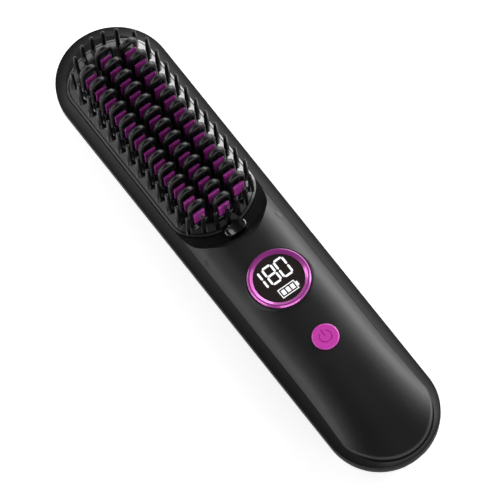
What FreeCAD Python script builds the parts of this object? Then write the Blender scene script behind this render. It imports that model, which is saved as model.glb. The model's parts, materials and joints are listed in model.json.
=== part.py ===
import FreeCAD, Part
import math
import os

V = FreeCAD.Vector

# Cordless hair straightening brush, lying on its back.
# X runs from the tip of the brush head to the end of the handle, Y across, Z up through the teeth.

# Body
COMB_RIM = 6.8               # from the tip of the head to the comb cover
COMB_LENGTH = 91.0
HANDLE_LENGTH = 115.2        # from the comb cover to the end of the handle
BODY_WIDTH = 45.0
SPLIT_Z = 16.0               # plane where the front and rear housings meet
BACK_LAND = 1.0              # upright band left between the rounded back and that plane
WALL = 2.0
FLANGE_EDGE = 0.5            # upright edge of the front housing, over the parting plane
FLANGE_RISE = 1.4            # how far the shoulder climbs from that edge to the crease
FLANGE_WIDTH = 4.2           # width of the shoulder along both sides
FLANGE_TIP = 1.0             # width of the shoulder left at the end of the handle
SKIRT = 1.0                  # how far cutters and forms run past the faces that they meet

# Crowned handle
CREASE_INSET = 4.1           # from the rim to the crease
CREASE_DROP = 0.3            # how far the crown runs on below the shoulder's top at the crease
CROWN_FLARE = 1.0            # extra half width gained towards the end
CROWN_POWER = 3.3            # the crown's section falls with this power of the distance from its middle
CROWN_POINTS = 12            # points on each half of a section
CROWN_STATIONS = 7
CROWN_OVERLAP = 0.6          # how far a section runs on past the crease
CREST_Z = 24.5
CREST_FALL = 5.2             # how far the crest falls towards the end
CREST_RUN = 48.5             # length of that fall
CROWN_LEAD = 15.3            # how far the crown reaches under the comb cover's near end
TIP_ROOM = 1.7               # from the crown's end to the end of the handle
TIP_INSET = 2.4              # from the rim to the side of the ellipse that ends the crown
TIP_STRETCH = 3.9            # how much longer than wide half that ellipse is
TIP_FILLET = 1.2
HOLLOW_LEAD = 15.2           # from the comb cover to the hollow under the crown
HOLLOW_SIDE = 2.6            # from the crease to the hollow's side
HOLLOW_RISE = 0.3            # height of the hollow's widest line over the parting plane
DIMPLE_LEAD = 7.4            # from the comb cover to the two dimples on the flanks
DIMPLE_INSET = 6.5
DIMPLE_R = 7.0
DIMPLE_DEPTH = 0.25

# Cove behind the comb cover
COVE_SETBACK = 19.7          # from the cove's centre to the comb cover's near end
COVE_START = 21.0            # distance from the cove's centre to the foot of its rise
COVE_RUN = 10.6              # plan length of the cove's rise
COVE_TOP = 25.0              # height that the rise runs out at, just over the crest

# Comb cover
COMB_INSET = 4.2             # from the rim to the comb cover's side
COMB_END_FLAT = 3.7          # how much the radius of its ends exceeds its half width
COMB_CORNER = 10.0
COMB_EDGE = 0.3              # how far its edge stands over the ledge
COMB_BAND = 0.75             # width of the band along its edge, outside a groove in the slope
COMB_GROOVE = 0.35
COMB_GROOVE_DEPTH = 0.4
COMB_SLOPE_WIDTH = 4.4       # width of the sloping margin
COMB_SLOPE_RISE = 2.5
COMB_SLOPE_ROUND = 4.0
COMB_UNDER = 15.4
COMB_GAP = 0.3
COMB_FLANGE = 1.2            # width of the rim that is held under the ledge
COMB_FLANGE_UNDER = 14.2
COMB_RIM_WIDTH = 2.0         # width of the rim under the plate, inside the plate's edge
GASKET = 0.5

# Teeth: a black arch with a heated fin inside
SIDE_TEETH = 12
MID_TEETH = 13
TEETH_FAR = 10.175           # from the comb cover's ends to the first and last tooth
TEETH_NEAR = 5.825
COLUMN_Y = 9.1
ARCH_WIDTH = 7.6
ARCH_DEPTH = 2.4
ARCH_LEG = 1.2
ARCH_TOP = 36.9
ARCH_ROUND = 1.15
ARCH_CROWN = 2.3             # thickness of the arch over its window
SILL_TOP = 23.4
SILL_FRONT = 2.5             # how far the sill reaches in front of the arch's middle
SILL_ROUND = 0.5
FIN_WIDTH = 4.9
FIN_BACK = 0.8
FIN_FRONT = 1.8
FIN_TOP = 30.3
FIN_ROUND = 0.3
FIN_GAP = 0.12

# Guard pins
PIN_TOP = 35.9
PIN_END_TOP = 32.4           # the pins across the ends are shorter
PIN_BASE_R = 1.25
PIN_TIP_R = 0.72
PIN_ROW_INSET = 2.7          # from the comb cover's side to the rows of pins
PIN_ROW_COUNT = 11
PIN_INSET = 2.2              # from the ends of the comb cover to the end pins
PIN_NEAR_FLAT = 3.7          # radius of the arcs of end pins, over the comb cover's half width
PIN_FAR_FLAT = -0.8
PIN_END_COUNT = 7
PIN_END_MARGIN = 4.0         # from the comb cover's side to the outermost end pin

# Heater stack
HEATER_TOP = 14.8
HEATER_THICK = 3.6
HEATER_INSET = 3.6           # margin between the comb cover's edge and the heater plate's edge
CERAMIC_THICK = 1.6
CERAMIC_MARGIN = 14.5        # from the comb cover's ends to the ceramic bars
CERAMIC_GAP = 2.2            # between the two ceramic bars
CERAMIC_CLEAR = 1.9          # from the screws' axes to the bars
CLAMP_THICK = 0.8
CLAMP_MARGIN = 11.5
CLAMP_INSET = 4.7
CLAMP_CORNER = 3.0
MICA_THICK = 0.6
THERMISTOR_OFFSET = -1.8     # from the comb cover's middle
FUSE_OFFSET = 14.2
SENSOR_LENGTH = 5.0
SENSOR_R = 0.75
FUSE_LENGTH = 9.0
FUSE_R = 0.7
HEATER_SCREW_AFTER = (1, 8)  # teeth of the side columns that the heater screws follow
HEATER_SCREW_INSET = 6.3
HEATER_SCREW_R = 1.0
HEATER_HEAD_R = 1.9
HEATER_HEAD = 1.1
HEATER_BITE = 2.2
HEATER_BOSS_R = 2.2
PEDESTAL_LENGTH = 10.0
PEDESTAL_WIDTH = 3.0
PEDESTAL_MARGIN = 19.0       # from the comb cover's ends to the pedestals' middles
PEDESTAL_SETBACK = 5.0       # from the screws' axes to the pedestals' middles

# Latch tab
LATCH_LEAD = 2.4             # from the comb cover to the tab's middle
LATCH_DEPTH = 4.4
LATCH_WIDTH = 9.4
LATCH_TOP = 22.0
LATCH_UNDER = 17.0
LATCH_DISH_R = 8.0           # shallow dish across the tab's top
LATCH_DISH = 0.6
LATCH_ROUND = 0.9
LATCH_GAP = 0.1

# Display
DISPLAY_LEAD = 30.2          # from the comb cover to the display's middle
BEZEL_R = 12.0
BEZEL_INNER_R = 9.8
BEZEL_PROUD = 1.0
BEZEL_BEVEL = 0.55
BEZEL_GAP = 0.1
BOSS_TOP = 24.7
BOSS_TOP_R = 12.6
BOSS_FOOT_R = 14.8
BOSS_FOOT_Z = 19.0
DISPLAY_SEAT = 23.4
DISPLAY_THROAT_R = 8.6
TAPE_THICK = 0.15
TAPE_MARGIN = 0.1
LENS_GAP = 0.1
LENS_RECESS = 0.7            # how far the lens lies under the bezel's crest
MODULE_R = 8.3
MODULE_GAP = 0.1
SEGMENT_THICK = 0.06
STROKE = 0.88
DIGIT_HEIGHT = 8.3
DIGIT_WIDTH = 4.65
DIGIT_TOP_X = -6.95          # top of the digits, from the display's centre
DIGIT_ONE_Y = -5.3
DIGIT_EIGHT_Y = -1.35
DIGIT_ZERO_Y = 3.9
SEGMENT_GAP = 0.2
ICON_X = 5.65
ICON_Y = 0.2
ICON_LENGTH = 7.4
ICON_WIDTH = 4.0
ICON_LINE = 0.38
ICON_NUB = 0.8
ICON_NUB_WIDTH = 1.9
ICON_BARS = 3
ICON_BAR_GAP = 0.55

# Power button
BUTTON_LEAD = 29.2           # from the display's middle to the button's
BUTTON_R = 5.2
BUTTON_TOP = 25.2
BUTTON_GAP = 0.15
BUTTON_ROUND = 0.6
BUTTON_TRAVEL = 0.5
BUTTON_FLANGE_R = 6.5
BUTTON_FLANGE = 1.0
BUTTON_STOP_GAP = 0.2
GUIDE_R = 7.4
GUIDE_UNDER = 20.5
STEM_R = 1.6
STEM_LENGTH = 0.7
SYMBOL_R = 2.6
SYMBOL_LINE = 0.5
SYMBOL_DEPTH = 0.25
SYMBOL_OPEN = 70.0           # opening of the power symbol's ring, in degrees
SYMBOL_BAR = 2.9

# Electronics
BOARD_TOP = 14.2
BOARD_THICK = 1.6
BOARD_LEAD = 15.7            # from the comb cover to the board
BOARD_OVERRUN = 9.3          # how far the board runs on past the button's middle
BOARD_INSET = 9.5            # from the rim to the board's side
POST_INSET = 2.8             # from the board's edges to its screws
POST_R = 2.2
BOARD_SCREW_R = 0.9
BOARD_HEAD_R = 1.7
BOARD_HEAD = 1.1
BOARD_BITE = 3.2
SCREW_GAP = 0.05
HOLE_GAP = 0.2
SWITCH_SIDE = 6.0
SWITCH_HEIGHT = 3.2
PLUNGER_R = 1.7
PLUNGER_GAP = 0.08
PLUNGER_LENGTH = 2.4
CHIP_SIDE = 7.0
CHIP_HEIGHT = 1.1
CAN_R = 3.0
CAN_HEIGHT = 3.6
COMPONENT_INSET = 5.0        # from the board's side to the middle of the parts beside the chip
TRANSISTOR_SIDE = 5.0
TRANSISTOR_HEIGHT = 1.6
FOAM_THICK = 0.6
FOAM_INSET = 0.5             # from the edge of the flat back to the foam
CELL_THICK = 4.2
CELL_LEAD = 9.0              # from the board's start to the cells
CELL_END_ROOM = 28.5         # from the cells to the end of the handle
CELL_OVERHANG = 3.0          # how far the cells reach past the edge of the flat back
CELL_ROUND = 1.2
LEAD_R = 0.6
LEAD_BEND = 1.8
LEAD_Y = 3.0

# Charging socket
SOCKET_WIDTH = 8.94
SOCKET_HEIGHT = 3.26
SOCKET_LENGTH = 7.35
SOCKET_SKIN = 0.3
SOCKET_RECESS = 1.5
SOCKET_GAP = 0.2
SOCKET_BACK = 1.0
TONGUE_WIDTH = 6.7
TONGUE_THICK = 0.7
TONGUE_LENGTH = 4.8
CHARGE_TOP = 9.0
CHARGE_THICK = 1.2
CHARGE_LENGTH = 15.0
CHARGE_WALL_ROOM = 4.6       # from the charge board's corners to the outside of the handle's round end
CHARGE_CLEAR = 1.2           # from the screw towers to the charge board's sides
CHARGE_SHELF_INSET = 2.4     # from the charge board's sides to the ribs under it

# Housing screws
SCREW_LEAD = 11.1            # from the comb cover to the near screws
SCREW_INSET = 7.9            # from the rim to the near screws
SCREW_END_ROOM = 20.5        # from the far screws to the end of the handle
SCREW_END_INSET = 10.1
HOUSING_SCREW_R = 1.2
HOUSING_HEAD_R = 2.2
HOUSING_HEAD = 1.5
HOUSING_BITE = 3.0
COUNTERBORE_R = 2.6
COUNTERBORE_DEPTH = 6.0
TOWER_R = 3.8
DRIVE_ARM = 1.1              # cross recess of every screw: reach of an arm, half its width, depth
DRIVE_SLOT = 0.3
DRIVE_DEPTH = 0.55

# Places that follow from the sizes above
BODY_LENGTH = COMB_RIM + COMB_LENGTH + HANDLE_LENGTH
HALF_LENGTH = BODY_LENGTH / 2
HALF_WIDTH = BODY_WIDTH / 2
BACK_ROUND = SPLIT_Z - BACK_LAND
FLAT_HALF = HALF_WIDTH - BACK_ROUND
COMB_FAR_X = COMB_RIM - HALF_LENGTH
COMB_NEAR_X = COMB_FAR_X + COMB_LENGTH
COMB_MID_X = (COMB_FAR_X + COMB_NEAR_X) / 2
COMB_HALF = HALF_WIDTH - COMB_INSET
COMB_END_RADIUS = COMB_HALF + COMB_END_FLAT
LEDGE_Z = SPLIT_Z + FLANGE_EDGE + FLANGE_RISE
CREASE_Z = LEDGE_Z - CREASE_DROP
HOLLOW_BASE = SPLIT_Z + HOLLOW_RISE
CROWN_HALF = HALF_WIDTH - CREASE_INSET
CROWN_START = COMB_NEAR_X - CROWN_LEAD
CREST_LEVEL_END = HALF_LENGTH - CREST_RUN
HOLLOW_START = COMB_NEAR_X + HOLLOW_LEAD
TIP_HALF = HALF_WIDTH - TIP_INSET
TIP_LENGTH = TIP_HALF + TIP_STRETCH
COVE_CENTRE_X = COMB_NEAR_X - COVE_SETBACK
TOOTH_PITCH = (COMB_LENGTH - TEETH_FAR - TEETH_NEAR) / (MID_TEETH - 1)
MID_FIRST_X = COMB_FAR_X + TEETH_FAR
SIDE_FIRST_X = MID_FIRST_X + TOOTH_PITCH / 2
PIN_ROW_Y = COMB_HALF - PIN_ROW_INSET
HEATER_UNDER = HEATER_TOP - HEATER_THICK
CERAMIC_UNDER = HEATER_UNDER - CERAMIC_THICK
CERAMIC_LENGTH = COMB_LENGTH - 2 * CERAMIC_MARGIN
CLAMP_UNDER = CERAMIC_UNDER - CLAMP_THICK
CLAMP_LENGTH = COMB_LENGTH - 2 * CLAMP_MARGIN
CLAMP_HALF = COMB_HALF - CLAMP_INSET
MICA_UNDER = CLAMP_UNDER - MICA_THICK
HEATER_SCREW_Y = COMB_HALF - HEATER_SCREW_INSET
CERAMIC_WIDTH = HEATER_SCREW_Y - CERAMIC_CLEAR - CERAMIC_GAP / 2
CERAMIC_Y = (CERAMIC_GAP + CERAMIC_WIDTH) / 2
PEDESTAL_Y = HEATER_SCREW_Y - PEDESTAL_SETBACK
PEDESTAL_X = (COMB_FAR_X + PEDESTAL_MARGIN, COMB_NEAR_X - PEDESTAL_MARGIN)
COMB_FLANGE_TOP = SPLIT_Z - GASKET
COMB_EDGE_Z = LEDGE_Z + COMB_EDGE
COMB_TOP = COMB_EDGE_Z + COMB_SLOPE_RISE
LATCH_X = COMB_NEAR_X + LATCH_LEAD
DISPLAY_X = COMB_NEAR_X + DISPLAY_LEAD
DISPLAY_FLOOR = DISPLAY_SEAT + TAPE_THICK
BEZEL_TOP = BOSS_TOP + BEZEL_PROUD
LENS_TOP = BEZEL_TOP - LENS_RECESS
BUTTON_X = DISPLAY_X + BUTTON_LEAD
BOARD_UNDER = BOARD_TOP - BOARD_THICK
BOARD_START = COMB_NEAR_X + BOARD_LEAD
BOARD_END = BUTTON_X + BOARD_OVERRUN
BOARD_HALF = HALF_WIDTH - BOARD_INSET
POST_X = (BOARD_START + POST_INSET, BOARD_END - POST_INSET)
POST_Y = BOARD_HALF - POST_INSET
CELLS_FLOOR = WALL + FOAM_THICK
CELL_START = BOARD_START + CELL_LEAD
CELL_LENGTH = HALF_LENGTH - CELL_END_ROOM - CELL_START
CELL_WIDTH = 2 * (FLAT_HALF + CELL_OVERHANG)
FOAM_HALF = FLAT_HALF - FOAM_INSET
CHARGE_HALF = HALF_WIDTH - SCREW_END_INSET - TOWER_R - CHARGE_CLEAR
CHARGE_REACH = math.sqrt((HALF_WIDTH - CHARGE_WALL_ROOM) ** 2 - CHARGE_HALF ** 2)
CHARGE_END = HALF_LENGTH - HALF_WIDTH + CHARGE_REACH
CHARGE_SHELF_HALF = CHARGE_HALF - CHARGE_SHELF_INSET
HOUSING_SCREWS = [(x, s * y) for x, y in (
    (COMB_NEAR_X + SCREW_LEAD, HALF_WIDTH - SCREW_INSET),
    (HALF_LENGTH - SCREW_END_ROOM, HALF_WIDTH - SCREW_END_INSET)) for s in (-1, 1)]


def box(x0, x1, y0, y1, z0, z1):
    return Part.makeBox(x1 - x0, y1 - y0, z1 - z0, V(x0, y0, z0))


def rod(x, y, z0, z1, r):
    return Part.makeCylinder(r, z1 - z0, V(x, y, z0))


def arc(p, q, r):
    return Part.Arc(p, q, r).toShape()


def line(p, q):
    return Part.LineSegment(p, q).toShape()


def prism(wire, height):
    return Part.Face(wire).extrude(V(0, 0, height))


def stadium(x0, x1, half, z):
    """Straight sides with round ends of the same width."""
    a = x0 + half
    b = x1 - half
    return Part.Wire([
        line(V(a, -half, z), V(b, -half, z)),
        arc(V(b, -half, z), V(x1, 0, z), V(b, half, z)),
        line(V(b, half, z), V(a, half, z)),
        arc(V(a, half, z), V(x0, 0, z), V(a, -half, z)),
    ])


def comb_outline(grow, z):
    """Outline of the comb cover: straight sides, gently curved ends and rounded corners."""
    half = COMB_HALF + grow
    end = COMB_END_RADIUS + grow
    corner = COMB_CORNER + grow
    near_c = COMB_NEAR_X - COMB_END_RADIUS
    far_c = COMB_FAR_X + COMB_END_RADIUS
    reach = math.sqrt((end - corner) ** 2 - (half - corner) ** 2)
    ux = reach / (end - corner)
    uy = (half - corner) / (end - corner)
    bend = math.radians(90) - (math.radians(90) - math.atan2(uy, ux)) / 2

    def end_points(c, s):
        touch = V(c + s * end * ux, end * uy, z)
        middle = V(c + s * (reach + corner * math.cos(bend)), half - corner + corner * math.sin(bend), z)
        side = V(c + s * reach, half, z)
        return touch, middle, side

    def mirror(p):
        return V(p.x, -p.y, p.z)

    nt, nm, ns = end_points(near_c, 1)
    ft, fm, fs = end_points(far_c, -1)
    return Part.Wire([
        line(mirror(fs), mirror(ns)),
        arc(mirror(ns), mirror(nm), mirror(nt)),
        arc(mirror(nt), V(near_c + end, 0, z), nt),
        arc(nt, nm, ns),
        line(ns, fs),
        arc(fs, fm, ft),
        arc(ft, V(far_c - end, 0, z), mirror(ft)),
        arc(mirror(ft), mirror(fm), mirror(fs)),
    ])


def edges_at(shape, z):
    """Edges that lie wholly at one height."""
    return [e for e in shape.Edges if abs(e.BoundBox.ZMin - z) < 1e-4 and abs(e.BoundBox.ZMax - z) < 1e-4]


def crown_size(u):
    """Half width at the crease and crest height, a share u of the way down to the handle's end."""
    return CROWN_HALF + CROWN_FLARE * u * u * (3 - 2 * u), CREST_Z - CREST_FALL * u * u


def closed_section(x, top, half):
    """Section across the body: a given top edge on a flat foot below the parting plane."""
    foot = SPLIT_Z - SKIRT
    high = top.Vertexes[0].Point.z
    return Part.Wire([
        top,
        line(V(x, -half, high), V(x, -half, foot)),
        line(V(x, -half, foot), V(x, half, foot)),
        line(V(x, half, foot), V(x, half, high)),
    ])


def crown_section(x, u):
    half, crest = crown_size(u)
    reach = half + CROWN_OVERLAP
    points = []
    for k in range(-CROWN_POINTS, CROWN_POINTS + 1):
        y = -reach * math.sin(math.radians(90) * k / CROWN_POINTS)
        points.append(V(x, y, crest - (crest - CREASE_Z) * (abs(y) / half) ** CROWN_POWER))
    curve = Part.BSplineCurve()
    curve.interpolate(points)
    return closed_section(x, curve.toShape(), reach)


def hollow_section(x, u):
    half, crest = crown_size(u)
    half -= HOLLOW_SIDE
    middle = V(x, 0, HOLLOW_BASE)
    ellipse = Part.Ellipse(V(x, half, HOLLOW_BASE), V(x, 0, crest - WALL), middle)
    return closed_section(x, Part.ArcOfEllipse(ellipse, 0, math.pi).toShape(), half)


def crowned(section, start, inset):
    """Level along the grip, then lower and wider towards an elliptical end."""
    wires = []
    for k in range(CROWN_STATIONS + 1):
        u = k / CROWN_STATIONS
        wires.append(section(CREST_LEVEL_END + u * CREST_RUN, u))
    level = Part.Face(wires[0]).extrude(V(start - CREST_LEVEL_END, 0, 0))
    form = level.fuse(Part.makeLoft(wires, True)).removeSplitter()
    tip = HALF_LENGTH - TIP_ROOM - TIP_LENGTH
    high = CREST_Z + SKIRT
    ellipse = Part.Ellipse(V(tip, 0, 0), TIP_LENGTH - inset, TIP_HALF - inset)
    plan = prism(Part.Wire([ellipse.toShape()]), high)
    plan = plan.fuse(box(start - SKIRT, tip, -TIP_HALF, TIP_HALF, 0, high))
    return form.common(plan)


def rounded_crown():
    """The crown with the top edge of its round end rounded over."""
    form = crowned(crown_section, CROWN_START, 0)
    rim = [e for e in form.Edges
           if e.BoundBox.XMax > HALF_LENGTH - TIP_LENGTH
           and e.BoundBox.XMin > CREST_LEVEL_END
           and e.BoundBox.ZMin > SPLIT_Z
           and e.BoundBox.YLength > FLANGE_WIDTH]
    return form.makeFillet(TIP_FILLET, rim)


def cove_cutter():
    """Round scoop from the ledge up to the crest, an S curve turned about the comb's near end."""
    rise = COVE_TOP - LEDGE_Z
    half_run = COVE_RUN / 2
    r = (half_run ** 2 + (rise / 2) ** 2) / rise
    turn = math.asin(half_run / r) / 2
    foot = COVE_START
    top = COVE_START + COVE_RUN
    far = HALF_LENGTH

    def at(radius, z):
        return V(COVE_CENTRE_X + radius, 0, z)

    wire = Part.Wire([
        line(at(0, LEDGE_Z), at(foot, LEDGE_Z)),
        arc(at(foot, LEDGE_Z), at(foot + r * math.sin(turn), LEDGE_Z + r - r * math.cos(turn)),
            at(foot + half_run, LEDGE_Z + rise / 2)),
        arc(at(foot + half_run, LEDGE_Z + rise / 2),
            at(top - r * math.sin(turn), COVE_TOP - r + r * math.cos(turn)), at(top, COVE_TOP)),
        line(at(top, COVE_TOP), at(top, far)),
        line(at(top, far), at(0, far)),
        line(at(0, far), at(0, LEDGE_Z)),
    ])
    return Part.Face(wire).revolve(at(0, 0), V(0, 0, 1), 360)


def front_form():
    """Outside of the front housing as one solid block."""
    edge = prism(stadium(-HALF_LENGTH, HALF_LENGTH, HALF_WIDTH, SPLIT_Z), FLANGE_EDGE)
    low = stadium(-HALF_LENGTH, HALF_LENGTH, HALF_WIDTH, SPLIT_Z + FLANGE_EDGE)
    high = stadium(-HALF_LENGTH + FLANGE_WIDTH, HALF_LENGTH - FLANGE_TIP, HALF_WIDTH - FLANGE_WIDTH, LEDGE_Z)
    flange = edge.fuse(Part.makeLoft([low, high], True, True))
    boss = Part.makeCone(BOSS_FOOT_R, BOSS_TOP_R, BOSS_TOP - BOSS_FOOT_Z, V(DISPLAY_X, 0, BOSS_FOOT_Z))
    dimples = []
    for side in (-1, 1):
        y = HALF_WIDTH - DIMPLE_INSET
        fall = CROWN_POWER * (CREST_Z - CREASE_Z) / CROWN_HALF * (y / CROWN_HALF) ** (CROWN_POWER - 1)
        z = CREST_Z - (CREST_Z - CREASE_Z) * (y / CROWN_HALF) ** CROWN_POWER
        out = V(0, side * fall, 1).normalize() * (DIMPLE_R - DIMPLE_DEPTH)
        dimples.append(Part.makeSphere(DIMPLE_R, V(COMB_NEAR_X + DIMPLE_LEAD, side * y, z) + out))
    body = flange.fuse([rounded_crown(), boss]).cut([cove_cutter()] + dimples)
    above = box(-HALF_LENGTH, HALF_LENGTH, -HALF_WIDTH, HALF_WIDTH, SPLIT_Z, CREST_Z + HALF_WIDTH)
    return body.common(above)


def front_housing():
    form = front_form()
    hollow = crowned(hollow_section, HOLLOW_START, WALL)
    guide = rod(BUTTON_X, 0, GUIDE_UNDER, BUTTON_TOP, GUIDE_R)
    posts = [rod(x, s * POST_Y, BOARD_TOP, CREST_Z, POST_R) for x in POST_X for s in (-1, 1)]
    towers = [rod(x, y, SPLIT_Z, CREST_Z, TOWER_R) for x, y in HOUSING_SCREWS]
    sunk = form.translated(V(0, 0, -WALL / 2))
    shell = form.cut(hollow).fuse([p.common(sunk) for p in [guide] + posts + towers])
    low = SPLIT_Z - SKIRT
    cuts = [
        prism(comb_outline(COMB_GAP, low), LEDGE_Z + SKIRT - low),
        rod(DISPLAY_X, 0, DISPLAY_SEAT, BOSS_TOP + SKIRT, BEZEL_R + BEZEL_GAP),
        rod(DISPLAY_X, 0, low, DISPLAY_SEAT, DISPLAY_THROAT_R),
        rod(BUTTON_X, 0, low, BUTTON_TOP, BUTTON_R + BUTTON_GAP),
        latch_form(LATCH_GAP),
    ]
    for x in POST_X:
        for s in (-1, 1):
            cuts.append(rod(x, s * POST_Y, BOARD_TOP, BOARD_TOP + BOARD_BITE + HOLE_GAP,
                            BOARD_SCREW_R + SCREW_GAP))
    for x, y in HOUSING_SCREWS:
        cuts.append(rod(x, y, SPLIT_Z, SPLIT_Z + HOUSING_BITE + HOLE_GAP, HOUSING_SCREW_R + SCREW_GAP))
    return shell.cut(cuts).removeSplitter()


def rear_housing():
    outer = prism(stadium(-HALF_LENGTH, HALF_LENGTH, HALF_WIDTH, 0), SPLIT_Z)
    outer = outer.makeFillet(BACK_ROUND, edges_at(outer, 0))
    inner = prism(stadium(WALL - HALF_LENGTH, HALF_LENGTH - WALL, HALF_WIDTH - WALL, WALL), SPLIT_Z)
    inner = inner.makeFillet(BACK_ROUND - WALL, edges_at(inner, WALL))
    adds = [rod(x, y, 0, SPLIT_Z, TOWER_R).common(outer) for x, y in HOUSING_SCREWS]
    for x in PEDESTAL_X:
        for s in (-1, 1):
            y = s * PEDESTAL_Y
            adds.append(box(x - PEDESTAL_LENGTH / 2, x + PEDESTAL_LENGTH / 2,
                            y - PEDESTAL_WIDTH / 2, y + PEDESTAL_WIDTH / 2, WALL / 2, MICA_UNDER))
    for s in (-1, 1):
        y = s * CHARGE_SHELF_HALF
        adds.append(box(CHARGE_END - CHARGE_LENGTH, CHARGE_END, y - WALL / 2, y + WALL / 2,
                        WALL / 2, CHARGE_TOP - CHARGE_THICK).common(outer))
    shell = outer.cut(inner).fuse(adds)
    cuts = [socket_form(SOCKET_GAP, CHARGE_END, HALF_LENGTH + SKIRT)]
    for x, y in HOUSING_SCREWS:
        cuts.append(rod(x, y, -SKIRT, COUNTERBORE_DEPTH, COUNTERBORE_R))
        cuts.append(rod(x, y, 0, SPLIT_Z, HOUSING_SCREW_R + HOLE_GAP))
    return shell.cut(cuts).removeSplitter()


def tooth_places():
    """Middle of every arch: three columns, the middle one half a pitch out of step."""
    places = []
    for s in (-1, 1):
        places += [(SIDE_FIRST_X + k * TOOTH_PITCH, s * COLUMN_Y) for k in range(SIDE_TEETH)]
    return places + [(MID_FIRST_X + k * TOOTH_PITCH, 0) for k in range(MID_TEETH)]


def arch_face(half, low, top, x):
    """Upright face with a round top, seen along X."""
    turn = top - half
    return Part.Face(Part.Wire([
        line(V(x, -half, low), V(x, half, low)),
        line(V(x, half, low), V(x, half, turn)),
        arc(V(x, half, turn), V(x, 0, top), V(x, -half, turn)),
        line(V(x, -half, turn), V(x, -half, low)),
    ]))


def arch_tooth():
    """One black arch on its sill, standing at the origin in plan."""
    root = COMB_EDGE_Z
    half = ARCH_WIDTH / 2
    hoop = arch_face(half, root, ARCH_TOP, -ARCH_DEPTH / 2).extrude(V(ARCH_DEPTH, 0, 0))
    rim = [e for e in hoop.Edges if e.BoundBox.XLength < 1e-6 and e.BoundBox.ZMax > SILL_TOP]
    hoop = hoop.makeFillet(ARCH_ROUND, rim)
    window = arch_face(half - ARCH_LEG, SILL_TOP, ARCH_TOP - ARCH_CROWN, -ARCH_DEPTH)
    hoop = hoop.cut(window.extrude(V(2 * ARCH_DEPTH, 0, 0)))
    sill = box(-ARCH_DEPTH / 2, SILL_FRONT, -half + SILL_ROUND, half - SILL_ROUND, root, SILL_TOP)
    sill = sill.makeFillet(SILL_ROUND, [e for e in sill.Edges if e.BoundBox.XMin > SILL_FRONT - 1e-6])
    return hoop.fuse(sill).removeSplitter()


def guard_pin(top):
    """One slender pin with a round tip, standing at the origin in plan."""
    root = COMB_EDGE_Z
    shoulder = top - PIN_TIP_R
    cone = Part.makeCone(PIN_BASE_R, PIN_TIP_R, shoulder - root, V(0, 0, root))
    return cone.fuse(Part.makeSphere(PIN_TIP_R, V(0, 0, shoulder))).removeSplitter()


def row_pin_places():
    """Pins along both sides, in step with the middle column."""
    xs = [MID_FIRST_X + k * TOOTH_PITCH for k in range(1, PIN_ROW_COUNT + 1)]
    return [(x, s * PIN_ROW_Y) for x in xs for s in (-1, 1)]


def end_pin_places():
    """Pins on an arc across each end of the comb cover."""
    near_r = COMB_HALF + PIN_NEAR_FLAT
    far_r = COMB_HALF + PIN_FAR_FLAT
    spread = COMB_HALF - PIN_END_MARGIN
    places = []
    for k in range(PIN_END_COUNT):
        y = spread * (2 * k / (PIN_END_COUNT - 1) - 1)
        places.append((COMB_NEAR_X - PIN_INSET - near_r + math.sqrt(near_r ** 2 - y * y), y))
        places.append((COMB_FAR_X + PIN_INSET + far_r - math.sqrt(far_r ** 2 - y * y), y))
    return places


def heater_screw_places():
    """Screws stand between two fins of the side columns, just outside the ceramic bars."""
    shift = (FIN_BACK + FIN_FRONT) / 2 + TOOTH_PITCH / 2
    return [(SIDE_FIRST_X + k * TOOTH_PITCH + shift, s * HEATER_SCREW_Y)
            for k in HEATER_SCREW_AFTER for s in (-1, 1)]


def placed(shape, places):
    return [shape.translated(V(x, y, 0)) for x, y in places]


def comb_cover():
    wires = [comb_outline(0, COMB_EDGE_Z), comb_outline(-COMB_SLOPE_WIDTH, COMB_TOP)]
    slope = Part.makeLoft(wires, True, True)
    slope = slope.makeFillet(COMB_SLOPE_ROUND, edges_at(slope, COMB_TOP))
    middle = COMB_BAND + COMB_GROOVE / 2
    groove_z = COMB_EDGE_Z + COMB_SLOPE_RISE * middle / COMB_SLOPE_WIDTH - COMB_GROOVE_DEPTH
    groove = prism(comb_outline(-COMB_BAND, groove_z), COMB_SLOPE_RISE)
    groove = groove.cut(prism(comb_outline(-COMB_BAND - COMB_GROOVE, groove_z), COMB_SLOPE_RISE))
    plate = prism(comb_outline(0, COMB_UNDER), COMB_EDGE_Z - COMB_UNDER).fuse(slope).cut(groove)
    rim = prism(comb_outline(COMB_FLANGE, COMB_FLANGE_UNDER), COMB_FLANGE_TOP - COMB_FLANGE_UNDER)
    rim = rim.cut(prism(comb_outline(-COMB_RIM_WIDTH, COMB_FLANGE_UNDER), COMB_UNDER - COMB_FLANGE_UNDER))
    bosses = [rod(x, y, HEATER_TOP, COMB_UNDER, HEATER_BOSS_R) for x, y in heater_screw_places()]
    teeth = placed(arch_tooth(), tooth_places())
    pins = placed(guard_pin(PIN_TOP), row_pin_places()) + placed(guard_pin(PIN_END_TOP), end_pin_places())
    solid = plate.fuse([rim] + bosses + teeth + pins)
    half = FIN_WIDTH / 2 + FIN_GAP
    slot = box(FIN_BACK - FIN_GAP, FIN_FRONT + FIN_GAP, -half, half, COMB_FLANGE_UNDER, SILL_TOP + SKIRT)
    pilot_top = COMB_UNDER + HEATER_BITE + HOLE_GAP
    pilots = [rod(x, y, HEATER_TOP, pilot_top, HEATER_SCREW_R + SCREW_GAP) for x, y in heater_screw_places()]
    return solid.cut(placed(slot, tooth_places()) + pilots)


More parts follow.
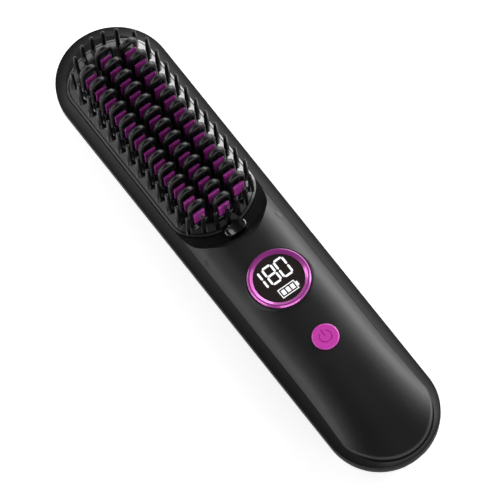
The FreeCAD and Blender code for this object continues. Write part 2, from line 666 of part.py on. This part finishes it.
def heater_plate():
    base = prism(comb_outline(-HEATER_INSET, HEATER_UNDER), HEATER_THICK)
    half = FIN_WIDTH / 2
    fin = box(FIN_BACK, FIN_FRONT, -half, half, HEATER_UNDER + HEATER_THICK / 2, FIN_TOP)
    fin = fin.makeFillet(FIN_ROUND, [e for e in fin.Edges if e.BoundBox.ZMax > HEATER_TOP])
    holes = [rod(x, y, HEATER_UNDER, HEATER_TOP, HEATER_SCREW_R + HOLE_GAP)
             for x, y in heater_screw_places()]
    return base.fuse(placed(fin, tooth_places())).cut(holes)


def comb_gasket():
    ring = prism(comb_outline(COMB_FLANGE, COMB_FLANGE_TOP), GASKET)
    return ring.cut(prism(comb_outline(COMB_GAP, COMB_FLANGE_TOP), GASKET))


def ceramic_heaters():
    x0 = COMB_MID_X - CERAMIC_LENGTH / 2
    half = CERAMIC_WIDTH / 2
    return Part.makeCompound([
        box(x0, x0 + CERAMIC_LENGTH, s * CERAMIC_Y - half, s * CERAMIC_Y + half, CERAMIC_UNDER, HEATER_UNDER)
        for s in (-1, 1)])


def clamp_sheet(low, thick, hole_r):
    """Round-cornered sheet across the heater stack, with holes at the heater screws."""
    reach = CLAMP_LENGTH / 2
    sheet = box(COMB_MID_X - reach, COMB_MID_X + reach, -CLAMP_HALF, CLAMP_HALF, low, low + thick)
    sheet = sheet.makeFillet(CLAMP_CORNER, [e for e in sheet.Edges if e.BoundBox.ZLength > thick / 2])
    return sheet.cut([rod(x, y, low, low + thick, hole_r) for x, y in heater_screw_places()])


def heater_clamp():
    return clamp_sheet(CLAMP_UNDER, CLAMP_THICK, HEATER_SCREW_R + HOLE_GAP)


def mica_sheet():
    return clamp_sheet(MICA_UNDER, MICA_THICK, HEATER_HEAD_R + HOLE_GAP)


def screw(x, y, seat, tip, shank_r, head_r, head):
    """Upright screw driven from below, with a cross recess in its head."""
    body = rod(x, y, seat - head, seat, head_r).fuse(rod(x, y, seat, tip, shank_r))
    low = seat - head
    high = low + DRIVE_DEPTH
    cross = [box(x - DRIVE_ARM, x + DRIVE_ARM, y - DRIVE_SLOT, y + DRIVE_SLOT, low, high),
             box(x - DRIVE_SLOT, x + DRIVE_SLOT, y - DRIVE_ARM, y + DRIVE_ARM, low, high)]
    return body.cut(cross).removeSplitter()


def heater_screws():
    return Part.makeCompound([
        screw(x, y, CLAMP_UNDER, COMB_UNDER + HEATER_BITE, HEATER_SCREW_R, HEATER_HEAD_R, HEATER_HEAD)
        for x, y in heater_screw_places()])


def board_screws():
    return Part.makeCompound([
        screw(x, s * POST_Y, BOARD_UNDER, BOARD_TOP + BOARD_BITE, BOARD_SCREW_R, BOARD_HEAD_R, BOARD_HEAD)
        for x in POST_X for s in (-1, 1)])


def housing_screws():
    return Part.makeCompound([
        screw(x, y, COUNTERBORE_DEPTH, SPLIT_Z + HOUSING_BITE, HOUSING_SCREW_R, HOUSING_HEAD_R, HOUSING_HEAD)
        for x, y in HOUSING_SCREWS])


def sensor_rod(x, length, r):
    """Small round sensor lying along X against the underside of the heater plate."""
    return Part.makeCylinder(r, length, V(x - length / 2, 0, HEATER_UNDER - r), V(1, 0, 0))


def thermistor():
    return sensor_rod(COMB_MID_X + THERMISTOR_OFFSET, SENSOR_LENGTH, SENSOR_R)


def thermal_fuse():
    return sensor_rod(COMB_MID_X + FUSE_OFFSET, FUSE_LENGTH, FUSE_R)


def latch_form(grow):
    """Round-ended tab across the body, let into the ledge and the cove."""
    end = LATCH_DEPTH / 2
    reach = LATCH_WIDTH / 2 - end
    end += grow
    low = LATCH_UNDER - grow
    wire = Part.Wire([
        line(V(LATCH_X - end, -reach, low), V(LATCH_X - end, reach, low)),
        arc(V(LATCH_X - end, reach, low), V(LATCH_X, reach + end, low), V(LATCH_X + end, reach, low)),
        line(V(LATCH_X + end, reach, low), V(LATCH_X + end, -reach, low)),
        arc(V(LATCH_X + end, -reach, low), V(LATCH_X, -reach - end, low), V(LATCH_X - end, -reach, low)),
    ])
    return prism(wire, LATCH_TOP - low + grow)


def comb_latch():
    tab = latch_form(0)
    tab = tab.makeFillet(LATCH_ROUND, edges_at(tab, LATCH_TOP))
    dish = Part.makeCylinder(LATCH_DISH_R, 2 * LATCH_DEPTH,
                             V(LATCH_X - LATCH_DEPTH, 0, LATCH_TOP + LATCH_DISH_R - LATCH_DISH), V(1, 0, 0))
    return tab.cut(dish)


def display_bezel():
    """Metal ring with a bevel on both edges of its top."""
    low = DISPLAY_FLOOR
    b = BEZEL_BEVEL
    points = [V(BEZEL_INNER_R, 0, low), V(BEZEL_R, 0, low), V(BEZEL_R, 0, BEZEL_TOP - b),
              V(BEZEL_R - b, 0, BEZEL_TOP), V(BEZEL_INNER_R + 2 * b, 0, BEZEL_TOP),
              V(BEZEL_INNER_R, 0, BEZEL_TOP - b)]
    face = Part.Face(Part.makePolygon(points + points[:1]))
    return face.revolve(V(0, 0, 0), V(0, 0, 1), 360).translated(V(DISPLAY_X, 0, 0))


def display_lens():
    return rod(DISPLAY_X, 0, DISPLAY_FLOOR, LENS_TOP, BEZEL_INNER_R - LENS_GAP)


def lens_tape():
    ring = rod(DISPLAY_X, 0, DISPLAY_SEAT, DISPLAY_FLOOR, BEZEL_R - TAPE_MARGIN)
    return ring.cut(rod(DISPLAY_X, 0, DISPLAY_SEAT, DISPLAY_FLOOR, DISPLAY_THROAT_R + TAPE_MARGIN))


def display_module():
    return rod(DISPLAY_X, 0, BOARD_TOP, DISPLAY_FLOOR - MODULE_GAP, MODULE_R)


def segment(u, v, length, upright):
    """One bar of a digit with pointed ends, in the reader's axes: u to the right, v up."""
    h = length / 2
    s = STROKE / 2
    pts = [(-h, 0), (s - h, s), (h - s, s), (h, 0), (h - s, -s), (s - h, -s)]
    if upright:
        pts = [(b, a) for a, b in pts]
    return [(u + a, v + b) for a, b in pts]


def digit(lit, v_mid, u_mid):
    """Seven-segment figure: the bars named in lit, numbered top, right, right, foot, left, left, middle."""
    across = DIGIT_WIDTH - STROKE
    up = (DIGIT_HEIGHT - STROKE) / 2
    bars = [
        (0, up, across, False), (across / 2, up / 2, up, True), (across / 2, -up / 2, up, True),
        (0, -up, across, False), (-across / 2, -up / 2, up, True), (-across / 2, up / 2, up, True),
        (0, 0, across, False)]
    return [segment(u_mid + u, v_mid + v, length - SEGMENT_GAP, upright)
            for k, (u, v, length, upright) in enumerate(bars) if k in lit]


def icon_rect(v, u, height, width):
    return [(u - width / 2, v - height / 2), (u + width / 2, v - height / 2),
            (u + width / 2, v + height / 2), (u - width / 2, v + height / 2)]


def lit_film(points):
    """Thin raised film on the lens; the reader's up is towards the brush head."""
    flat = [V(DISPLAY_X - v, u, LENS_TOP) for u, v in points]
    return prism(Part.makePolygon(flat + flat[:1]), SEGMENT_THICK)


def readout_segments():
    v_mid = -DIGIT_TOP_X - DIGIT_HEIGHT / 2
    bars = digit((1, 2), v_mid, DIGIT_ONE_Y - (DIGIT_WIDTH - STROKE) / 2)
    bars += digit((0, 1, 2, 3, 4, 5, 6), v_mid, DIGIT_EIGHT_Y)
    bars += digit((0, 1, 2, 3, 4, 5), v_mid, DIGIT_ZERO_Y)
    inner_length = ICON_LENGTH - 2 * ICON_LINE
    inner_width = ICON_WIDTH - 2 * ICON_LINE
    frame = lit_film(icon_rect(-ICON_X, ICON_Y, ICON_WIDTH, ICON_LENGTH))
    frame = frame.cut(lit_film(icon_rect(-ICON_X, ICON_Y, inner_width, inner_length)))
    nub = lit_film(icon_rect(-ICON_X, ICON_Y + (ICON_LENGTH + ICON_NUB) / 2, ICON_NUB_WIDTH, ICON_NUB))
    frame = frame.fuse(nub).removeSplitter()
    bar = (inner_length - (ICON_BARS + 1) * ICON_BAR_GAP) / ICON_BARS
    for k in range(ICON_BARS):
        u = ICON_Y - inner_length / 2 + ICON_BAR_GAP + bar / 2 + k * (bar + ICON_BAR_GAP)
        bars.append(icon_rect(-ICON_X, u, inner_width - 2 * ICON_BAR_GAP, bar))
    return Part.makeCompound([frame] + [lit_film(b) for b in bars])


def power_symbol():
    """Open ring and upright bar, as a cutter sunk into the button's top."""
    low = BUTTON_TOP - SYMBOL_DEPTH
    inner = SYMBOL_R - SYMBOL_LINE
    ring = Part.makeCylinder(SYMBOL_R, SKIRT, V(0, 0, low), V(0, 0, 1), 360 - SYMBOL_OPEN)
    ring = ring.cut(rod(0, 0, low, low + SKIRT, inner))
    ring.rotate(V(0, 0, 0), V(0, 0, 1), 180 + SYMBOL_OPEN / 2)
    bar = box(-SYMBOL_BAR, -SYMBOL_LINE / 2, -SYMBOL_LINE / 2, SYMBOL_LINE / 2, low, low + SKIRT)
    return [s.translated(V(BUTTON_X, 0, 0)) for s in (ring, bar)]


def power_button():
    flange_top = GUIDE_UNDER - BUTTON_STOP_GAP
    flange_low = flange_top - BUTTON_FLANGE
    cap = rod(BUTTON_X, 0, flange_top, BUTTON_TOP, BUTTON_R)
    cap = cap.makeFillet(BUTTON_ROUND, edges_at(cap, BUTTON_TOP))
    cap = cap.fuse([rod(BUTTON_X, 0, flange_low, flange_top, BUTTON_FLANGE_R),
                    rod(BUTTON_X, 0, flange_low - STEM_LENGTH, flange_low, STEM_R)])
    return cap.cut(power_symbol()).removeSplitter()


def stem_end():
    return GUIDE_UNDER - BUTTON_STOP_GAP - BUTTON_FLANGE - STEM_LENGTH


def switch_plunger():
    return rod(BUTTON_X, 0, stem_end() - PLUNGER_LENGTH, stem_end(), PLUNGER_R)


def tact_switch():
    half = SWITCH_SIDE / 2
    top = BOARD_TOP + SWITCH_HEIGHT
    case = box(BUTTON_X - half, BUTTON_X + half, -half, half, BOARD_TOP, top)
    floor = stem_end() - PLUNGER_LENGTH - BUTTON_TRAVEL - HOLE_GAP
    return case.cut(rod(BUTTON_X, 0, floor, top, PLUNGER_R + PLUNGER_GAP))


def main_board():
    board = box(BOARD_START, BOARD_END, -BOARD_HALF, BOARD_HALF, BOARD_UNDER, BOARD_TOP)
    return board.cut([rod(x, s * POST_Y, BOARD_UNDER, BOARD_TOP, BOARD_SCREW_R + HOLE_GAP)
                      for x in POST_X for s in (-1, 1)])


def board_components():
    """Control chip, power transistor and capacitor on top of the board."""
    mid = (DISPLAY_X + BUTTON_X) / 2
    c = CHIP_SIDE / 2
    t = TRANSISTOR_SIDE / 2
    y = BOARD_HALF - COMPONENT_INSET
    return Part.makeCompound([
        box(mid - c, mid + c, -c, c, BOARD_TOP, BOARD_TOP + CHIP_HEIGHT),
        box(mid - t, mid + t, y - t, y + t, BOARD_TOP, BOARD_TOP + TRANSISTOR_HEIGHT),
        rod(mid, -y, BOARD_TOP, BOARD_TOP + CAN_HEIGHT, CAN_R)])


def battery_cell(low):
    cell = box(CELL_START, CELL_START + CELL_LENGTH, -CELL_WIDTH / 2, CELL_WIDTH / 2, low, low + CELL_THICK)
    return cell.makeFillet(CELL_ROUND, [e for e in cell.Edges if e.BoundBox.XLength > CELL_THICK])


def foam_pad():
    return box(CELL_START, CELL_START + CELL_LENGTH, -FOAM_HALF, FOAM_HALF, WALL, CELLS_FLOOR)


def lead(points):
    """Round wire along straight runs joined by tangent arcs."""
    edges = []
    start = points[0]
    for a, b, c in zip(points, points[1:], points[2:]):
        u = (b - a).normalize()
        w = (c - b).normalize()
        half_turn = u.getAngle(w) / 2
        cut = LEAD_BEND * math.tan(half_turn)
        p = b - u * cut
        q = b + w * cut
        inward = (w - u).normalize()
        middle = b + inward * (LEAD_BEND / math.cos(half_turn) - LEAD_BEND)
        edges.append(line(start, p))
        edges.append(arc(p, middle, q))
        start = q
    edges.append(line(start, points[-1]))
    ring = Part.Wire(Part.makeCircle(LEAD_R, points[0], points[1] - points[0]))
    return Part.Wire(edges).makePipeShell([ring], True, False)


def heater_leads():
    low = (CERAMIC_UNDER + HEATER_UNDER) / 2
    high = (BOARD_UNDER + BOARD_TOP) / 2
    near = COMB_MID_X + CERAMIC_LENGTH / 2
    return Part.makeCompound([
        lead([V(near, y, low), V(COMB_NEAR_X - LEAD_BEND, y, low), V(BOARD_START - 3 * LEAD_BEND, y, high),
              V(BOARD_START, y, high)])
        for y in (-CERAMIC_Y, CERAMIC_Y)])


def battery_leads():
    mid = CELLS_FLOOR + CELL_THICK + CELL_THICK / 2
    x = (BOARD_START + CELL_START) / 2
    return Part.makeCompound([
        lead([V(CELL_START, y, mid), V(x, y, mid), V(x, y, BOARD_UNDER)])
        for y in (-LEAD_Y, LEAD_Y)])


def charge_leads():
    high = (BOARD_UNDER + BOARD_TOP) / 2
    low = CHARGE_TOP - CHARGE_THICK / 2
    end = CHARGE_END - CHARGE_LENGTH
    bend = end - 2 * LEAD_BEND
    return Part.makeCompound([
        lead([V(BOARD_END, y, high), V(bend - LEAD_BEND, y, high),
              V(bend + LEAD_BEND, y, low), V(end, y, low)])
        for y in (-LEAD_Y, LEAD_Y)])


def charge_board():
    return box(CHARGE_END - CHARGE_LENGTH, CHARGE_END, -CHARGE_HALF, CHARGE_HALF,
               CHARGE_TOP - CHARGE_THICK, CHARGE_TOP)


def socket_form(grow, x0, x1):
    """Flat oval bar along X, the outside of the charging socket."""
    r = SOCKET_HEIGHT / 2
    reach = SOCKET_WIDTH / 2 - r
    z = CHARGE_TOP + r
    r += grow
    wire = Part.Wire([
        line(V(x0, -reach, z - r), V(x0, reach, z - r)),
        arc(V(x0, reach, z - r), V(x0, reach + r, z), V(x0, reach, z + r)),
        line(V(x0, reach, z + r), V(x0, -reach, z + r)),
        arc(V(x0, -reach, z + r), V(x0, -reach - r, z), V(x0, -reach, z - r)),
    ])
    return Part.Face(wire).extrude(V(x1 - x0, 0, 0))


def charge_socket():
    mouth = HALF_LENGTH - SOCKET_RECESS
    back = mouth - SOCKET_LENGTH
    return socket_form(0, back, mouth).cut(socket_form(-SOCKET_SKIN, back + SOCKET_BACK, mouth))


def contact_tongue():
    back = HALF_LENGTH - SOCKET_RECESS - SOCKET_LENGTH + SOCKET_BACK
    mid = CHARGE_TOP + SOCKET_HEIGHT / 2
    half = TONGUE_WIDTH / 2
    return box(back, back + TONGUE_LENGTH, -half, half, mid - TONGUE_THICK / 2, mid + TONGUE_THICK / 2)


def make_all():
    return {
        "front_housing": front_housing(),
        "rear_housing": rear_housing(),
        "comb_cover": comb_cover(),
        "comb_gasket": comb_gasket(),
        "comb_latch": comb_latch(),
        "heater_plate": heater_plate(),
        "ceramic_heaters": ceramic_heaters(),
        "heater_clamp": heater_clamp(),
        "mica_sheet": mica_sheet(),
        "heater_screws": heater_screws(),
        "thermistor": thermistor(),
        "thermal_fuse": thermal_fuse(),
        "heater_leads": heater_leads(),
        "display_bezel": display_bezel(),
        "display_lens": display_lens(),
        "lens_tape": lens_tape(),
        "readout_segments": readout_segments(),
        "display_module": display_module(),
        "power_button": power_button(),
        "switch_plunger": switch_plunger(),
        "tact_switch": tact_switch(),
        "main_board": main_board(),
        "board_components": board_components(),
        "board_screws": board_screws(),
        "lower_cell": battery_cell(CELLS_FLOOR),
        "upper_cell": battery_cell(CELLS_FLOOR + CELL_THICK),
        "foam_pad": foam_pad(),
        "battery_leads": battery_leads(),
        "charge_board": charge_board(),
        "charge_leads": charge_leads(),
        "charge_socket": charge_socket(),
        "contact_tongue": contact_tongue(),
        "housing_screws": housing_screws(),
    }


os.makedirs("parts", exist_ok=True)
for name, shape in make_all().items():
    shape.exportStep("parts/%s.step" % name)
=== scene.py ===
import json
import math

import bpy
from mathutils import Matrix, Vector

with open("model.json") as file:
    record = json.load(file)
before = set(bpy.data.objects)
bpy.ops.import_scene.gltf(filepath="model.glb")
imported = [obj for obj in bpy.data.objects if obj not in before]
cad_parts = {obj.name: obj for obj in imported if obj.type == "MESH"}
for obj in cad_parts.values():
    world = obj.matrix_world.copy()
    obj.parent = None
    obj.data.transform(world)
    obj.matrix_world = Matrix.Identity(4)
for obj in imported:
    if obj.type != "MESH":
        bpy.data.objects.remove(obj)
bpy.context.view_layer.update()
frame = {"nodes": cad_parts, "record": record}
scene = bpy.context.scene
nodes = frame["nodes"]
MM = 0.001

# Camera, found by fitting the outline in the photograph
CAM_AZ = math.radians(61.36)
CAM_EL = math.radians(66.64)
CAM_ROLL = math.radians(-7.985)
CAM_DISTANCE = 3307 * MM
CAM_CLIP_END = 100
CAM_TARGET = Vector((0, 0, 14 * MM))
IMAGE_PX = 500
PX_PER_MM = 2.685            # scale of the photograph at the target
SHIFT_PX = (3.43, 2.46)      # how far the target is left of and above the picture's middle
SENSOR_MM = 36

# Steps in finish, measured from pieces of the frame
CREASE_RISE = (0.4 * MM, 2.2 * MM)     # over the rear housing: matt below, satin above
TEETH_DROP = (14.9 * MM, 11.9 * MM)    # under the teeth's tops: polished below, satin above

GRAIN_DEPTH = 0.1 * MM
GRAIN_DETAIL = 2.0
PATCH_DETAIL = 3.0

FLOOR_SIZE = 8
FLOOR_DROP = 0.2 * MM        # keeps the floor just clear of the flat back
FLOOR_GRAIN = 40
FLOOR_GREYS = (0.80, 0.82)
FLOOR_ROUGH = 0.9
FLOOR_SPECULAR = 0.1
FLOOR_GLOW = 0.6             # whitens the floor for the camera and in mirrors, and lights nothing
WHITE = (1, 1, 1, 1)

DOME_LEVEL = 1.3             # radiance of the dome at the horizon, mean of left and right
DOME_TILT = 0.52             # how much brighter the right is, and darker the left
DOME_FALL = 1.35             # how fast the dome darkens towards the zenith

BODY_AIM = (0, 0, 0.02)
HEAD_AIM = (-0.065, -0.02, 0.02)

# Name, place, aim, width and height in metres, and power in watts
LIGHTS = [
    ("right_low", (-0.35, 1.6, 0.36), BODY_AIM, (2.4, 0.7), 26),
    ("right_high", (-0.35, 1.2, 1.0), BODY_AIM, (2.0, 0.9), 9),
    ("left_low", (-0.35, -1.6, 0.5), BODY_AIM, (2.4, 0.4), 9.8),
    ("left_high", (-0.35, -1.25, 0.9), BODY_AIM, (2.2, 0.8), 2),
    ("head_box", (-0.18, -0.12, 0.215), HEAD_AIM, (0.12, 0.07), 0.13),
    ("end_box", (1.5, -0.2, 0.75), BODY_AIM, (1.6, 0.5), 7.8),
]


def top_of(node):
    """Height of a node's highest point."""
    return max(vertex.co.z for vertex in nodes[node].data.vertices)


CREASE = tuple(top_of("rear_housing") + rise for rise in CREASE_RISE)
TEETH_FOOT = tuple(top_of("comb_cover") - drop for drop in TEETH_DROP)

# For each slot: two colours that drift into each other, the least and most roughness, and what else is set
FINISHES = {
    "soft_black": ((0.007, 0.007, 0.0073), (0.009, 0.009, 0.0095), (0.36, 0.44),
                   dict(step=CREASE, specular=(0.02, 0.385))),
    "gloss_black": ((0.003, 0.003, 0.0034), (0.0055, 0.0055, 0.006), (0.16, 0.22),
                    dict(grain=900, grain_bump=0.03, step=TEETH_FOOT, satin=0.14, specular=(0.77, 0.385),
                         coat=(0.77, 0.0))),
    "magenta_coat": ((0.42, 0.035, 0.325), (0.51, 0.046, 0.41), (0.2, 0.28),
                     dict(coat=0.77, coat_rough=0.08)),
    "magenta_metal": ((0.385, 0.046, 0.31), (0.46, 0.065, 0.37), (0.2, 0.28),
                      dict(metallic=0.5, coat=0.54)),
    "magenta_gloss": ((0.58, 0.047, 0.41), (0.64, 0.056, 0.46), (0.22, 0.3),
                      dict(coat=0.46, coat_rough=0.12)),
    "lens_black": ((0.02, 0.0155, 0.0146), (0.0245, 0.0195, 0.0177), (0.06, 0.1),
                   dict(grain=200, grain_bump=0.01)),
    "readout_white": ((0.85, 0.85, 0.87), (0.95, 0.95, 0.96), (0.4, 0.5), dict(emit=0.3)),
    "seal_rubber": ((0.006, 0.006, 0.006), (0.01, 0.01, 0.01), (0.6, 0.7), dict()),
    "ceramic_white": ((0.7, 0.68, 0.63), (0.8, 0.78, 0.74), (0.5, 0.6), dict()),
    "plain_steel": ((0.45, 0.45, 0.45), (0.58, 0.58, 0.57), (0.25, 0.4), dict(metallic=1.0)),
    "mica_tan": ((0.4, 0.3, 0.17), (0.55, 0.44, 0.28), (0.4, 0.55), dict(patch=300)),
    "sensor_glass": ((0.4, 0.14, 0.06), (0.5, 0.2, 0.1), (0.08, 0.14), dict()),
    "lead_red": ((0.42, 0.02, 0.02), (0.5, 0.03, 0.03), (0.45, 0.55), dict()),
    "module_grey": ((0.33, 0.33, 0.33), (0.42, 0.42, 0.42), (0.45, 0.55), dict()),
    "board_green": ((0.012, 0.13, 0.04), (0.03, 0.2, 0.07), (0.3, 0.42), dict(patch=400)),
    "cell_foil": ((0.5, 0.5, 0.52), (0.64, 0.64, 0.66), (0.28, 0.42), dict(metallic=0.9)),
    "foam_grey": ((0.12, 0.12, 0.12), (0.2, 0.2, 0.2), (0.85, 0.95), dict(grain=1500, grain_bump=0.5)),
}


def make_camera():
    out = math.cos(CAM_EL)
    back = Vector((math.sin(CAM_AZ) * out, -math.cos(CAM_AZ) * out, math.sin(CAM_EL)))
    level = Vector((math.cos(CAM_AZ), math.sin(CAM_AZ), 0))
    upright = back.cross(level)
    right = math.cos(CAM_ROLL) * level + math.sin(CAM_ROLL) * upright
    up = math.cos(CAM_ROLL) * upright - math.sin(CAM_ROLL) * level
    data = bpy.data.cameras.new("camera")
    data.sensor_width = SENSOR_MM
    data.sensor_fit = 'HORIZONTAL'
    data.lens = PX_PER_MM * CAM_DISTANCE / MM / IMAGE_PX * SENSOR_MM
    data.clip_end = CAM_CLIP_END
    camera = bpy.data.objects.new("camera", data)
    place = CAM_TARGET + back * CAM_DISTANCE + (right * SHIFT_PX[0] - up * SHIFT_PX[1]) * (MM / PX_PER_MM)
    camera.matrix_world = Matrix.Translation(place) @ Matrix((right, up, back)).transposed().to_4x4()
    scene.collection.objects.link(camera)
    scene.camera = camera


def new_material(name):
    mat = bpy.data.materials.new(name)
    mat.use_nodes = True
    tree = mat.node_tree
    return mat, tree, tree.nodes["Principled BSDF"]


def noise(tree, scale, detail=PATCH_DETAIL):
    coords = tree.nodes.new("ShaderNodeTexCoord")
    tex = tree.nodes.new("ShaderNodeTexNoise")
    tex.inputs["Scale"].default_value = scale
    tex.inputs["Detail"].default_value = detail
    tree.links.new(coords.outputs["Object"], tex.inputs["Vector"])
    return tex.outputs["Fac"]


def ramp_colour(tree, source, low, high):
    mix = tree.nodes.new("ShaderNodeMix")
    mix.data_type = 'RGBA'
    mix.inputs["A"].default_value = (*low, 1)
    mix.inputs["B"].default_value = (*high, 1)
    tree.links.new(source, mix.inputs["Factor"])
    return mix.outputs["Result"]


def ramp_value(tree, source, low, high, span=(0, 1)):
    """Value that goes from low to high while the source crosses the span."""
    ramp = tree.nodes.new("ShaderNodeMapRange")
    limits = {"From Min": span[0], "From Max": span[1], "To Min": low, "To Max": high}
    for socket, value in limits.items():
        ramp.inputs[socket].default_value = value
    tree.links.new(source, ramp.inputs["Value"])
    return ramp.outputs["Result"]


def height_ramp(tree, heights, low, high):
    """Value that goes from low under the two heights to high over them."""
    coords = tree.nodes.new("ShaderNodeTexCoord")
    split = tree.nodes.new("ShaderNodeSeparateXYZ")
    tree.links.new(coords.outputs["Object"], split.inputs[0])
    return ramp_value(tree, split.outputs["Z"], low, high, heights)


def math_node(tree, operation, first, second):
    node = tree.nodes.new("ShaderNodeMath")
    node.operation = operation
    for socket, value in zip(node.inputs, (first, second)):
        if isinstance(value, (int, float)):
            socket.default_value = value
        else:
            tree.links.new(value, socket)
    return node.outputs[0]


def bump(tree, source, strength):
    node = tree.nodes.new("ShaderNodeBump")
    node.inputs["Strength"].default_value = strength
    node.inputs["Distance"].default_value = GRAIN_DEPTH
    tree.links.new(source, node.inputs["Height"])
    return node.outputs["Normal"]


def set_stepped(tree, socket, step, value):
    """Set a socket to one value, or to a pair: the first below the step's heights, the second above."""
    if isinstance(value, tuple):
        tree.links.new(height_ramp(tree, step, *value), socket)
    else:
        socket.default_value = value


def surface(name, low, high, rough, grain=3000, grain_bump=0.1, patch=60, metallic=0.0, emit=0.0,
            step=None, satin=0.0, specular=0.5, coat=0.0, coat_rough=0.05):
    """Moulded or coated surface: slow colour drift, uneven gloss and a fine grain.

    Where there is a step, satin is added to the roughness above it, and specular and coat may be pairs.
    """
    mat, tree, bsdf = new_material(name)
    slow = noise(tree, patch)
    fine = noise(tree, grain, GRAIN_DETAIL)
    colour = ramp_colour(tree, slow, low, high)
    tree.links.new(colour, bsdf.inputs["Base Color"])
    gloss = ramp_value(tree, slow, *rough)
    if satin:
        gloss = math_node(tree, 'ADD', gloss, height_ramp(tree, step, 0.0, satin))
    tree.links.new(gloss, bsdf.inputs["Roughness"])
    tree.links.new(bump(tree, fine, grain_bump), bsdf.inputs["Normal"])
    bsdf.inputs["Metallic"].default_value = metallic
    set_stepped(tree, bsdf.inputs["Specular IOR Level"], step, specular)
    set_stepped(tree, bsdf.inputs["Coat Weight"], step, coat)
    bsdf.inputs["Coat Roughness"].default_value = coat_rough
    if emit:
        tree.links.new(colour, bsdf.inputs["Emission Color"])
        bsdf.inputs["Emission Strength"].default_value = emit
    return mat


def dress_nodes():
    materials = {
        slot: surface(slot, low, high, rough, **more) for slot, (low, high, rough, more) in FINISHES.items()
    }
    for entry in frame["record"]["subparts"]:
        data = nodes[entry["node"]].data
        data.materials.clear()
        data.materials.append(materials[entry["material_slot"]])


def make_floor():
    bpy.ops.mesh.primitive_plane_add(size=FLOOR_SIZE, location=(0, 0, -FLOOR_DROP))
    floor = bpy.context.object
    floor.name = "floor"
    mat, tree, bsdf = new_material("floor")
    low, high = ((grey, grey, grey) for grey in FLOOR_GREYS)
    tree.links.new(ramp_colour(tree, noise(tree, FLOOR_GRAIN), low, high), bsdf.inputs["Base Color"])
    bsdf.inputs["Roughness"].default_value = FLOOR_ROUGH
    bsdf.inputs["Specular IOR Level"].default_value = FLOOR_SPECULAR
    path = tree.nodes.new("ShaderNodeLightPath").outputs
    seen = math_node(tree, 'MAXIMUM', path["Is Camera Ray"], path["Is Glossy Ray"])
    seen = math_node(tree, 'MAXIMUM', seen, path["Is Transmission Ray"])
    bsdf.inputs["Emission Color"].default_value = WHITE
    tree.links.new(math_node(tree, 'MULTIPLY', seen, FLOOR_GLOW), bsdf.inputs["Emission Strength"])
    floor.data.materials.append(mat)


def make_world():
    """Dome that is bright at the horizon, more so on the right, and dark overhead."""
    world = bpy.data.worlds.new("world")
    scene.world = world
    world.use_nodes = True
    tree = world.node_tree
    coords = tree.nodes.new("ShaderNodeTexCoord")
    split = tree.nodes.new("ShaderNodeSeparateXYZ")
    tree.links.new(coords.outputs["Generated"], split.inputs[0])
    low = math_node(tree, 'POWER', math_node(tree, 'SUBTRACT', 1.0, split.outputs["Z"]), DOME_FALL)
    side = math_node(tree, 'MULTIPLY', split.outputs["Y"], DOME_TILT)
    side = math_node(tree, 'ADD', side, DOME_LEVEL)
    background = tree.nodes["Background"]
    background.inputs["Color"].default_value = WHITE
    tree.links.new(math_node(tree, 'MULTIPLY', low, side), background.inputs["Strength"])


def soft_light(name, place, aim, size, power):
    data = bpy.data.lights.new(name, 'AREA')
    data.shape = 'RECTANGLE'
    data.size, data.size_y = size
    data.energy = power
    lamp = bpy.data.objects.new(name, data)
    lamp.location = place
    lamp.rotation_euler = (Vector(place) - Vector(aim)).to_track_quat('Z', 'Y').to_euler()
    scene.collection.objects.link(lamp)


make_camera()
dress_nodes()
make_floor()
make_world()
for light in LIGHTS:
    soft_light(*light)

scene.view_settings.view_transform = 'Standard'
